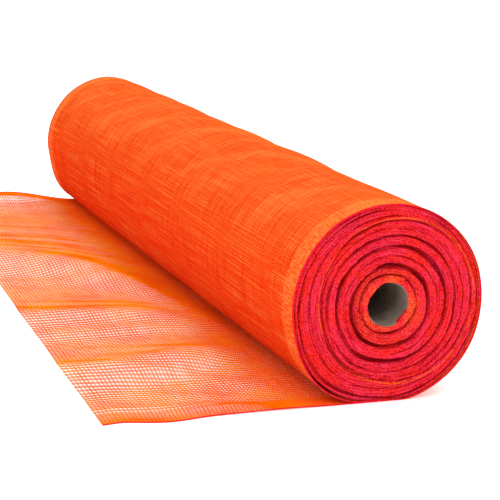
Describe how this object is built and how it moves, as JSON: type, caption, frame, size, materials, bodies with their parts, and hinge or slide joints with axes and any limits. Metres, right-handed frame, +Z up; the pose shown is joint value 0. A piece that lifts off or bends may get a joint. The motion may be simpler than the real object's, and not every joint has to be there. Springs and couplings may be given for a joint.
{
  "type": "roll of debris netting",
  "caption": "Roll of fine open-mesh debris netting on a cardboard core, lying on its side with its loose end laid out flat beside it.",
  "frame": {"origin": "on the ground, under the middle of the roll's axis", "axes": "+Z up, +Y along the roll's axis towards its back end, -X the way the free end is laid out"},
  "size_m": [0.675, 2, 0.346],
  "materials": {
    "netting": "orange-red knitted polyethylene mesh, satin, matt on the cut turns at the ends",
    "cardboard": "plain grey-brown spiral-wound cardboard, matt"
  },
  "bodies": {
    "root": {"netting": "netting", "cardboard_core": "cardboard"}
  },
  "joints": []
}
